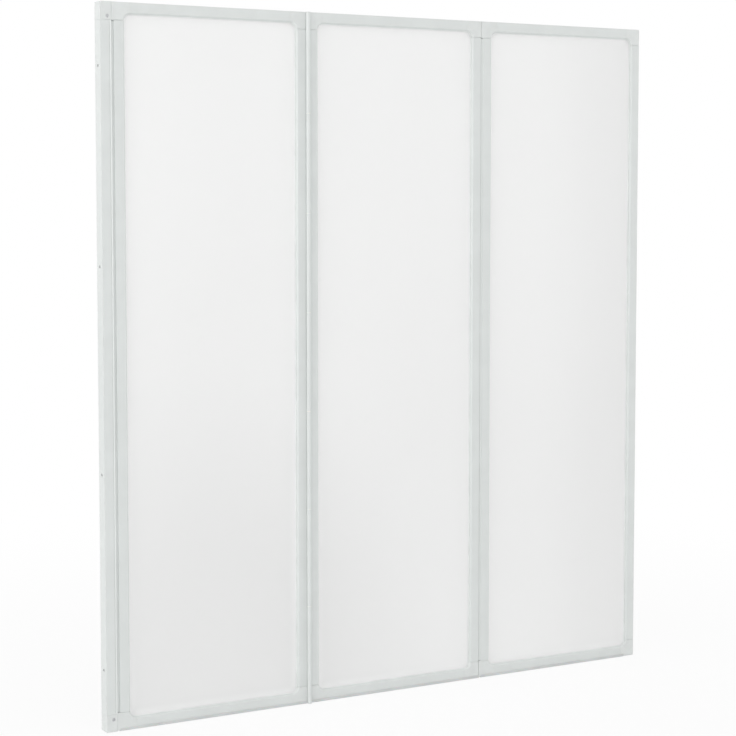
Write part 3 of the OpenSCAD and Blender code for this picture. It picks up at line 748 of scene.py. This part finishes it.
def gasket_surface(panel):
    """Point (m, y) of the profile goes to the corner's centre + (35 - m) (cos a, sin a), at depth y."""
    left, right = FRAME_EDGES[panel]
    angle = four_corners(GASKET_ARC).reshape(-1, 1)
    quarter = np.repeat(np.arange(4), GASKET_ARC)[:, None]
    x_middle = np.where((quarter == 0) | (quarter == 3), right - CORNER_LEG, left + CORNER_LEG)
    z_middle = np.where(quarter < 2, FRAME_HIGH - CORNER_LEG, FRAME_LOW + CORNER_LEG)
    m, y = GASKET_PROFILE.T
    reach = CORNER_LEG - m
    return loft(grid(x_middle + reach * np.cos(angle), y, z_middle + reach * np.sin(angle)), ends="none")


make_on_panels("gasket_ring", gasket_surface, GASKET_RUBBER, "gasket", "gasket")

# %% [markdown]
# ## The corner pieces
# A corner piece is one moulding: outside a square corner with a rounded edge, inside a quarter circle with
# the slope of the bars. Its surface is the section of a bar carried from the stile's end to the rail's. Each
# ring joins a point of the outer square to a point of the inner arc, and the rings crowd towards the mitre,
# where the outer edge turns. Points near the outer edge are measured from it, points near the inner edge from
# there, and the flat face between them stretches. Next to the stile the last rings are drawn in, which leaves
# the fine shadow line of the photo.

# %% Corner pieces: the section
BAR, HALF_T, SLOPE = 22.0, 9.0, 3.0
EDGE_R, EDGE_STEPS, EDGE_REST = 1.4, 5, 0.25
ARC_R = CORNER_LEG - BAR
LEG = CORNER_LEG - 0.15
SHADOW_DEPTH, SHADOW_H = 0.8, 1.3
GROOVE_HALF, GROOVE_IN = 3.0, 8.0
SQUARENESS = 60.0


def outer_quarter():
    """Quarter circle from the outer edge to the face, as (distance from the edge, distance below the face).
    One more point close to each end keeps the smooth shading of the curve off the flat faces."""
    a = np.radians(np.linspace(0, 90, EDGE_STEPS))
    curve = EDGE_R * np.stack([1 - np.sin(a), 1 - np.cos(a)], -1)
    return np.vstack([[(EDGE_R + EDGE_REST, 0)], curve, [(0, EDGE_R + EDGE_REST)]])[::-1]


def inner_half():
    """From the face down the slope and the inner wall into the groove: (distance from the inner edge, y)."""
    foot = HALF_T - SLOPE
    return np.array([(-SLOPE - 0.8, HALF_T), (-SLOPE - 0.5, HALF_T), (-SLOPE - 0.15, HALF_T - 0.06),
                     (-SLOPE + 0.25, HALF_T - 0.33), (-0.35, foot + 0.42), (-0.08, foot - 0.05),
                     (0.0, foot - 0.5), (0.0, GROOVE_HALF + 0.35), (-0.3, GROOVE_HALF + 0.05),
                     (-GROOVE_IN, GROOVE_HALF)])


def bar_section():
    """Closed section as arrays: held by the outer (0) or inner (1) edge, distance from that edge, and y."""
    outer, inner = outer_quarter(), inner_half()
    held = np.r_[np.zeros(len(outer)), np.ones(2 * len(inner)), np.zeros(len(outer))]
    along = np.r_[outer[:, 0], inner[:, 0], inner[::-1, 0], outer[::-1, 0]]
    y = np.r_[outer[:, 1] - HALF_T, -inner[:, 1], inner[::-1, 1], HALF_T - outer[::-1, 1]]
    return held, along, y


print("section points", len(bar_section()[0]))

# %% [markdown]
# The outer ends of the rings run along a square whose corner is blended by the superellipse formula: a point
# (a, b) on the unit square is divided by (a^60 + b^60)^(1/60). Far from the corner that is 1, at the corner
# it pulls the point in by about half a millimetre.

# %% Corner pieces: the surface
RING_STEPS, RING_CROWDING = 15, 1.5


def corner_rings():
    """Rings in the corner's own directions, u along the rail and w along the stile, from the outer corner."""
    step = np.linspace(0, 1, RING_STEPS)
    w_out = (LEG - SHADOW_H) * (1 - step) ** RING_CROWDING
    start = np.arcsin((CORNER_LEG - LEG + SHADOW_H) / ARC_R)
    turn = start + (np.pi / 4 - start) * step
    outer = np.stack([np.zeros_like(step), w_out], -1)
    inner = CORNER_LEG - ARC_R * np.stack([np.cos(turn), np.sin(turn)], -1)
    end_w = np.array([LEG, LEG - SHADOW_H])
    end_inner = CORNER_LEG - np.sqrt(ARC_R ** 2 - (CORNER_LEG - end_w) ** 2)
    stile_outer = np.vstack([np.stack([0 * end_w, end_w], -1), outer])
    stile_inner = np.vstack([np.stack([end_inner, end_w], -1), inner])
    rail_inner, rail_outer = inner[:-1][::-1, ::-1], outer[:-1][::-1, ::-1]
    outer = np.vstack([stile_outer, rail_outer, [[LEG, 0]]])
    inner = np.vstack([stile_inner, rail_inner, [[LEG, end_inner[0]]]])
    drawn_in = np.r_[1.0, 1.0, np.zeros(len(outer) - 2)] * SHADOW_DEPTH
    unit = (CORNER_LEG - outer) / CORNER_LEG
    outer = CORNER_LEG - (CORNER_LEG - outer) / (unit ** SQUARENESS).sum(1, keepdims=True) ** (1 / SQUARENESS)
    across = inner - outer
    across /= np.linalg.norm(across, axis=1, keepdims=True)
    slant = 1 / np.abs(across).max(1)
    held, along, y = bar_section()
    outside = np.abs(y) > GROOVE_HALF + 0.2
    along = along[None] + drawn_in[:, None] * np.where(outside, 1 - 2 * held, -held * (along > -1))
    along = along * np.where(held > 0, 1, slant[:, None])
    edge = np.where(held[None, :, None] > 0, inner[:, None], outer[:, None])
    flat = edge + along[..., None] * across[:, None]
    depth = y[None] - np.sign(y) * drawn_in[:, None] * outside
    return np.concatenate([flat[..., :1], depth[..., None], flat[..., 1:]], -1)


print("corner rings", corner_rings().shape[:2])

# %% [markdown]
# At each hinge a lip on the corner piece further from the wall closes the gap, on the side away from the
# axis. It is a small bar with soft corners. The lower corner piece at the free end also has a flat foot that
# reaches down to the rim of the bath, because the seal stops short of it.

# %% Corner pieces: lips, foot and assembly
LIP_OUT, LIP_IN, LIP_T, LIP_SUNK = 4.7, EDGE_R - 0.2, 3.5, 0.02
FOOT_L, FOOT_HALF, FOOT_UP, FOOT_R = 28.0, HALF_T - EDGE_R, 2.0, 0.4
SOFT_END, SOFT_R, SHARP_R = 0.5, 0.5, 0.05


def soft_bar(section, start, end, axis):
    """A closed outline carried from start to end along x (0) or z (2), drawn in by the soft end at both."""
    middle = section.mean(0)
    drawn = 1 - SOFT_END / np.abs(section - middle).max()
    shrink = np.array([drawn, 1, 1, 1, 1, drawn])
    inward = np.array([0, SOFT_END, SOFT_END + 0.3])
    place = np.r_[start + inward, end - inward[::-1]]
    flat = middle + shrink[:, None, None] * (section - middle)
    run = np.broadcast_to(place[:, None, None], (*flat.shape[:2], 1))
    return loft(np.concatenate([run, flat] if axis == 0 else [flat, run], -1))


def rectangle(low, high, near_r, far_r):
    """Outline of a rectangle with soft corners, the two at the high end with a radius of their own."""
    (a, b), (c, d) = low, high
    return soft_corners([(a, b), (c, b), (c, d), (a, d)], [near_r, far_r, far_r, near_r], beside=EDGE_REST)


def corner_surface(panel, side, level):
    """The corner moulding with its lip, put at its corner of the frame and cleared of the hinge."""
    hinge = HINGE_OF_EDGE.get((panel, side))
    parts = [loft(corner_rings())]
    if side == "left":
        away = -np.sign(AXES[hinge][1])
        y_low, y_high = sorted((away * (HALF_T - LIP_T), away * (HALF_T - LIP_SUNK)))
        parts.append(soft_bar(rectangle((-LIP_OUT, y_low), (LIP_IN, y_high), SOFT_R, SHARP_R), 0.0, LEG, 2))
    points, faces = joined(parts)
    x_edge, x_sign = (FRAME_EDGES[panel][0], 1) if side == "left" else (FRAME_EDGES[panel][1], -1)
    z_edge, z_sign = (FRAME_LOW, 1) if level == "bottom" else (FRAME_HIGH, -1)
    points = points * [x_sign, 1, z_sign] + [x_edge, 0, z_edge]
    if x_sign != z_sign:
        faces = [f[::-1] for f in faces]
    if (panel, side, level) == (3, "right", "bottom"):
        foot = rectangle((-FOOT_HALF, 0.0), (FOOT_HALF, FRAME_LOW + FOOT_UP), FOOT_R, FOOT_R)
        points, faces = joined([(points, faces), soft_bar(foot, x_edge - FOOT_L, x_edge, 0)])
    return clear_of_hinges(points, panel), faces


for panel in PANELS:
    for level in ("top", "bottom"):
        for side in ("left", "right"):
            make_piece(f"corner_{panel}_{level}_{side}", corner_surface(panel, side, level), MOULDING,
                       f"panel_{panel}", "corner_plastic", f"panel_{panel}_corner_{level}_{side}")

# %% [markdown]
# ## The seals under the frames
# The seal is a vinyl channel over the frame's lower edge, with two narrow feet on each side that are pressed
# to the rim and hold back the water. Its section is a closed outline in y and z, carried along x. Where a
# hinge stands in the way the wall on that side sinks to the base within a few millimetres, which is how a
# fitter would trim it.

# %% Seals
SEAL_HALF, SEAL_WALL, SEAL_TOP, SEAL_BASE = 10.05, 1.0, 5.7, 1.55
ROOM_LOW, ROOM_RANGE, WALL_LEFT = 9.1, 0.95, 0.02
SEAL_WAVE = 0.04
SEAL_SECTION = mirrored([
    (5.9, 0.4, 0.2), (6.4, 0.0, 0.2), (7.3, 0.0, 0.2), (7.7, 0.35, 0.15), (8.3, 0.35, 0.15), (8.6, 0.0, 0.15),
    (9.5, 0.0, 0.3), (SEAL_HALF, 0.6, 0.3), (SEAL_HALF - 0.1, 3.0, 0.8), (SEAL_HALF, 4.9, 0.4),
    (SEAL_HALF - 0.15, SEAL_TOP, 0.3), (SEAL_HALF - SEAL_WALL + 0.05, SEAL_TOP, 0.3),
    (SEAL_HALF - SEAL_WALL, SEAL_BASE, 0.15)], flipped=0, steps=3)


def room_beside_hinge(x, panel, side_y):
    """Largest |y| free of the hinges on that side at x: axis distance minus sqrt(r^2 - (x - axis)^2)."""
    room = np.full_like(x, 99.0)
    for side in ("left", "right"):
        hinge = HINGE_OF_EDGE.get((panel, side))
        if hinge and np.sign(AXES[hinge][1]) == side_y:
            off = np.clip(FREE_RADIUS ** 2 - (x - AXES[hinge][0]) ** 2, 0, None)
            room = np.where(off > 0, np.minimum(room, abs(AXES[hinge][1]) - np.sqrt(off)), room)
    return room


def seal_surface(panel):
    """The section at each x: walls as high as there is room for, and drawn in beside a hinge."""
    low, high = box_mm(f"panel_{panel}_seal")
    ends = np.array([0, 0.15, 0.5, 1.0, 1.5, 2.0, 2.5, 3.0, 3.6, 4.3, 5.0])
    x = np.r_[low[0] + ends, np.linspace(low[0] + 12, high[0] - 12, 24), high[0] - ends[::-1]]
    y, z = SEAL_SECTION.T
    for side_y in (-1, 1):
        room = room_beside_hinge(x, panel, side_y)[:, None]
        height = np.clip((room - ROOM_LOW) / ROOM_RANGE, WALL_LEFT, 1)
        here = np.sign(y) == side_y
        z = np.where(here & (z > SEAL_BASE), SEAL_BASE + (z - SEAL_BASE) * height, z)
        y = np.where(here, y * np.minimum(1, room / SEAL_HALF), y)
    y = y + SEAL_WAVE * np.sin(x / 37 + panel)[:, None] * (np.abs(y) < SEAL_HALF - 0.3)
    return loft(grid(x[:, None], y, z))


make_on_panels("drip_seal", seal_surface, SEAL_VINYL, "seal", "seal")

# %% [markdown]
# ## The strip on the free edge
# The slot in the last stile has nothing to hold, so a soft strip fills it. Its visible face has three low
# ridges, which hide that it is never quite straight.

# %% Edge strip
STRIP_WAVE = 0.03
STRIP_SECTION = soft_corners(
    [(0.35, -1.05), (0.0, -0.7), (0.18, -0.35), (0.0, 0.0), (0.18, 0.35), (0.0, 0.7), (0.35, 1.05),
     (2.15, 1.05), (2.15, 3.05), (4.05, 3.05), (4.05, -3.05), (2.15, -3.05), (2.15, -1.05)],
    [0.15, 0.12, 0.1, 0.12, 0.1, 0.12, 0.15, 0.2, 0.3, 0.3, 0.3, 0.3, 0.2])


def strip_surface():
    """The section carried up the slot, u measured inwards from the screen's free edge."""
    low, high = box_mm("panel_3_edge_strip")
    z = np.linspace(low[2], high[2], 30)[:, None]
    u, y = STRIP_SECTION.T
    return loft(grid(high[0] - u, y + STRIP_WAVE * np.sin(z / 45), z))


make_piece("edge_strip", strip_surface(), SEAL_VINYL, "panel_3", "seal", "panel_3_edge_strip")

# %% [markdown]
# ## The screws
# A screw is a surface of turn with a cross pressed into its head. Radius and height follow a profile, from
# the middle of the head over its edge and down the shank to the point. Each slot of the cross is a product of
# two smooth steps, one for its width and one for its length, and the cross lowers the points on top of the
# head.

# %% Screws
HEAD_R, HEAD_H, SHANK_R, SHANK_L = 3.0, 1.6, 1.45, 8.0
CONE_H, CLAMP_SHANK_R, CLAMP_SHANK_L = 1.8, 1.95, 7.0
PAN_CROSS, SUNK_CROSS = (0.9, 3.7, 0.9), (1.5, 5.0, 1.5)
WIDTH_FALL, LENGTH_FALL = 0.25, 0.5
POINTS_EVERY = 6


def smooth_step(value):
    """0 below 0, 1 above 1, and 3 v^2 - 2 v^3 between."""
    value = np.clip(value, 0, 1)
    return value * value * (3 - 2 * value)


def screw_surface(place, out, profile, cross, turned):
    """Rings of (radius, height along out) round the screw's axis, lowered by the cross near the top."""
    radius, height = np.array(profile, float).T
    angle = np.radians(np.arange(0, 360, POINTS_EVERY))
    a, b = radius[:, None] * np.cos(angle), radius[:, None] * np.sin(angle)
    c, s = np.cos(turned), np.sin(turned)
    p, q = np.abs(a * c - b * s), np.abs(a * s + b * c)
    width, length, depth = cross
    slots = [smooth_step((width / 2 - near) / WIDTH_FALL + 0.5)
             * smooth_step((length / 2 - far) / LENGTH_FALL + 0.5) for near, far in ((p, q), (q, p))]
    on_top = (np.arange(len(radius)) < np.argmax(radius))[:, None]
    drop = depth * np.maximum(*slots) * on_top
    y = place[1] + out * (height[:, None] - drop)
    return loft(grid(place[0] + a, y, place[2] + b), ends="point")


def pan_head():
    """Profile of a corner screw: a dome that falls as 1 - 0.35 r^4, a round rim, and a plain shank."""
    r = np.linspace(0.12, 0.93, 20)
    dome = np.stack([r * HEAD_R, HEAD_H * (1 - 0.35 * r ** 4)], -1)
    rim = [(HEAD_R * 0.985, HEAD_H * 0.52), (HEAD_R, HEAD_H * 0.3), (HEAD_R, 0.1), (HEAD_R - 0.1, 0.0)]
    return np.vstack([dome, rim, [(SHANK_R, 0.0), (SHANK_R, -SHANK_L), (0.2, -SHANK_L - 0.4)]])


def sunk_head(head_r):
    """Profile of a clamp screw: a nearly flat top, a cone under it, and a plain shank."""
    r = np.linspace(0.08, 0.97, 22)
    top = np.stack([r * head_r, -0.04 - 0.10 * r ** 2], -1)
    return np.vstack([top, [(head_r, -0.22), (CLAMP_SHANK_R, -CONE_H), (CLAMP_SHANK_R, -CLAMP_SHANK_L),
                            (0.2, -CLAMP_SHANK_L - 0.4)]])


def corner_screws(panel):
    """The four screws on the back of a frame, each left at a turn of its own."""
    low, high = box_mm(f"panel_{panel}_screws")
    spots = [(x, HALF_T, z) for x in (low[0] + HEAD_R, high[0] - HEAD_R)
             for z in (low[2] + HEAD_R, high[2] - HEAD_R)]
    return joined([screw_surface(spot, 1, pan_head(), PAN_CROSS, 0.4 + 1.7 * k + panel)
                   for k, spot in enumerate(spots)])


def clamp_screws():
    """The two sunk screws on the front of the wall profile."""
    low, high = box_mm("clamp_screws")
    head_r = (high[0] - low[0]) / 2
    spots = [((low[0] + high[0]) / 2, low[1], z) for z in (low[2] + head_r, high[2] - head_r)]
    return joined([screw_surface(spot, -1, sunk_head(head_r), SUNK_CROSS, 0.3 + k)
                   for k, spot in enumerate(spots)])


make_on_panels("corner_screws", corner_screws, STAINLESS, "steel", "screws")
make_piece("clamp_screw_pair", clamp_screws(), STAINLESS, "wall_fixing", "steel", "clamp_screws")

# %% [markdown]
# ## Floor, light and background
# The photo has plain white all round. The floor is a wide pale plane at the height of the bath rim: to the
# camera it is white of its own, with a share of real shading for a soft shadow of the object. That share
# fades with the distance, so no horizon shows. The world is white to the camera and to reflections, and a
# softer grey as a light.

# %% Floor and world
FLOOR_SHADOW, SHADOW_RANGE, SHADOW_MIDDLE = 0.13, (0.5, 2.4), (0.64, 0, 0)
FLOOR_GREY, FLOOR_REACH, FLOOR_Z = (0.93, 0.93, 0.93, 1), 20, -0.0006
WORLD_AS_LIGHT = 0.65


def make_floor():
    """Square whose camera colour is white, mixed with shaded white near the object."""
    mesh = bpy.data.meshes.new("floor")
    square = ((-1, -1), (1, -1), (1, 1), (-1, 1))
    mesh.from_pydata([(x * FLOOR_REACH, y * FLOOR_REACH, FLOOR_Z) for x, y in square], [], [(0, 1, 2, 3)])
    floor = new_object("floor", mesh)
    material = bpy.data.materials.new("pale_floor")
    material.use_nodes = True
    tree = material.node_tree
    tree.nodes.clear()
    away = vector_node(tree, "DISTANCE", object_place(tree), SHADOW_MIDDLE).outputs["Value"]
    share = between(tree, away, *SHADOW_RANGE, 1 - FLOOR_SHADOW, 1.0)
    seen = tree.nodes.new("ShaderNodeLightPath").outputs["Is Camera Ray"]
    shaded = add_node(tree, "BsdfDiffuse", {"Color": FLOOR_GREY}).outputs[0]
    white = tree.nodes.new("ShaderNodeEmission").outputs[0]
    mixed = add_node(tree, "MixShader", {0: times(tree, share, seen), 1: shaded, 2: white}).outputs[0]
    add_node(tree, "OutputMaterial", {0: mixed})
    mesh.materials.append(material)
    return floor


def make_world():
    """White to camera, glossy and transmission rays, and a plain grey light to all others."""
    world = bpy.data.worlds.new("studio")
    world.use_nodes = True
    tree = world.node_tree
    background = tree.nodes["Background"]
    background.inputs["Color"].default_value = (1, 1, 1, 1)
    rays = tree.nodes.new("ShaderNodeLightPath").outputs
    direct = math_node(tree, "MAXIMUM", rays["Is Glossy Ray"], rays["Is Transmission Ray"])
    direct = math_node(tree, "MAXIMUM", rays["Is Camera Ray"], direct)
    feed(tree, background.inputs["Strength"], between(tree, direct, 0.0, 1.0, WORLD_AS_LIGHT, 1.0))
    bpy.context.scene.world = world
    return world


print(make_floor().name, make_world().name)

# %% [markdown]
# ## Lamps
# A studio lights a white product from all sides, so that no face goes grey. Large square lamps stand for its
# soft boxes. Those at the left are strongest, because the photo's side face is a little brighter than the
# fronts.

# %% Lamps
LAMP_SIZE, AIM_X = 3.0, 0.6
LAMPS = {
    "soft_left": ((-5.2, -0.6, 1.5), 0.7, 70.0),
    "soft_left_front": ((-4.2, -2.9, 1.3), 0.7, 44.0),
    "soft_front": ((-1.2, -5.6, 1.3), 0.6, 28.0),
    "soft_right": ((5.4, -1.9, 1.4), 0.6, 39.0),
    "soft_top": ((0.2, -2.2, 5.2), 0.7, 26.0),
    "soft_back": ((1.6, 5.0, 2.2), 0.7, 40.0),
}


def make_lamp(name, place, aim_z, power):
    """Square area lamp that looks from its place to the middle of the screen, at the given height."""
    light = bpy.data.lights.new(name, "AREA")
    light.size, light.energy = LAMP_SIZE, power
    lamp = new_object(name, light)
    lamp.location = place
    lamp.rotation_euler = (Vector((AIM_X, 0, aim_z)) - lamp.location).to_track_quat("-Z", "Y").to_euler()
    return lamp


for name, (place, aim_z, power) in LAMPS.items():
    print(make_lamp(name, place, aim_z, power).name, power, "W")

# %% [markdown]
# ## Colour
# The Standard view keeps each colour as it is written.

# %% Finish
bpy.context.scene.view_settings.view_transform = "Standard"
